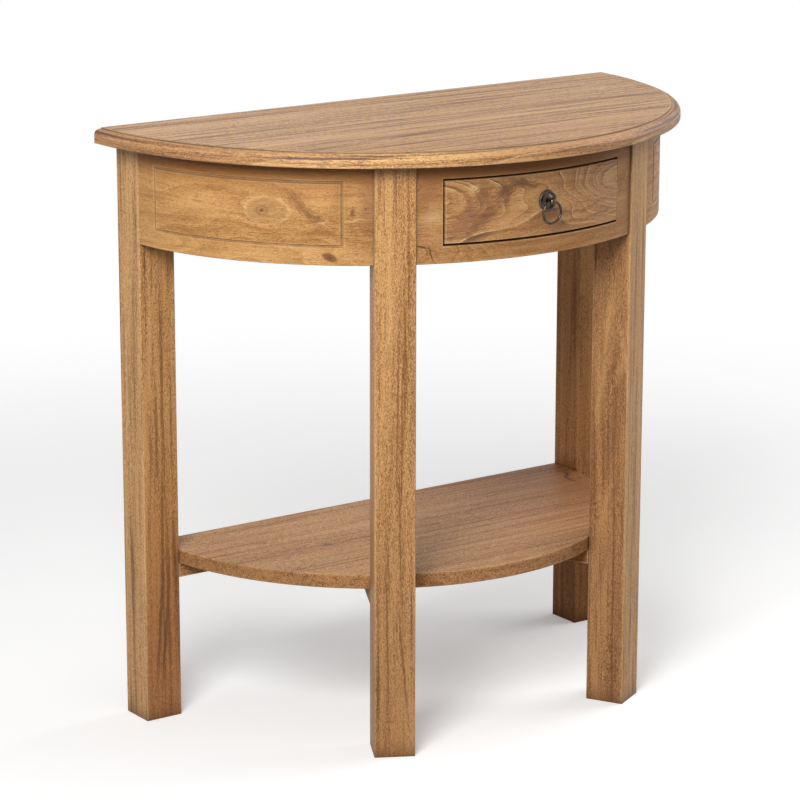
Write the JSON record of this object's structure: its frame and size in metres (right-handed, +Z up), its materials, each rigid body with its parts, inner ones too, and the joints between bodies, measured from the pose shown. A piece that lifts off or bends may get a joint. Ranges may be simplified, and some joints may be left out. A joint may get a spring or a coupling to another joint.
{
  "type": "demilune table",
  "caption": "Half-round wooden side table with a moulded top, curved aprons, a bow-fronted drawer with a ring pull, and a low shelf on flat stretchers.",
  "frame": {"origin": "on the floor, under the centre of the top's outline", "axes": "+Z up, -Y towards the curved front with the drawer, +X to the right seen from the front"},
  "size_m": [0.796, 0.405, 0.75],
  "materials": {
    "top_wood": "satin wax, greyish tan, straight grain",
    "leg_wood": "satin wax, honey brown, upright grain",
    "apron_wood": "satin wax, warm brown",
    "drawer_wood": "satin wax, warm brown, swirled figure",
    "shelf_wood": "satin wax, tan brown",
    "inner_wood": "bare planed wood",
    "pull_metal": "dark antique bronze, rubbed bright on the high spots",
    "screw_steel": "zinc-coated steel"
  },
  "bodies": {
    "frame": {"top": "top_wood", "rear_left_leg": "leg_wood", "rear_right_leg": "leg_wood", "front_left_leg": "leg_wood", "front_right_leg": "leg_wood", "left_apron": "apron_wood", "right_apron": "apron_wood", "front_apron": "apron_wood", "back_apron": "apron_wood", "shelf": "shelf_wood", "rear_stretcher": "shelf_wood", "left_stretcher": "shelf_wood", "right_stretcher": "shelf_wood", "left_runner": "inner_wood", "right_runner": "inner_wood", "left_guide": "inner_wood", "right_guide": "inner_wood", "left_kicker": "inner_wood", "right_kicker": "inner_wood", "drawer_stops": "inner_wood", "top_buttons": "inner_wood", "button_screws": "screw_steel", "kicker_screws": "screw_steel", "guide_screws": "screw_steel", "shelf_screws": "screw_steel"},
    "drawer": {"drawer_front": "drawer_wood", "drawer_left_side": "inner_wood", "drawer_right_side": "inner_wood", "drawer_back": "inner_wood", "drawer_bottom": "inner_wood", "drawer_bottom_screws": "screw_steel", "pull_backplate": "pull_metal", "pull_post": "pull_metal", "pull_washer": "screw_steel", "pull_nut": "screw_steel"},
    "ring": {"pull_ring": "pull_metal"}
  },
  "joints": [
    {"name": "drawer_slide", "type": "slide", "parent": "frame", "child": "drawer", "axis": [0, -1, 0], "range_m": [0, 0.2]},
    {"name": "ring_swing", "type": "hinge", "parent": "drawer", "child": "ring", "pos_m": [0.0056, -0.1828, 0.6768], "axis": [-1, 0, 0], "range_deg": [-12, 160]}
  ]
}
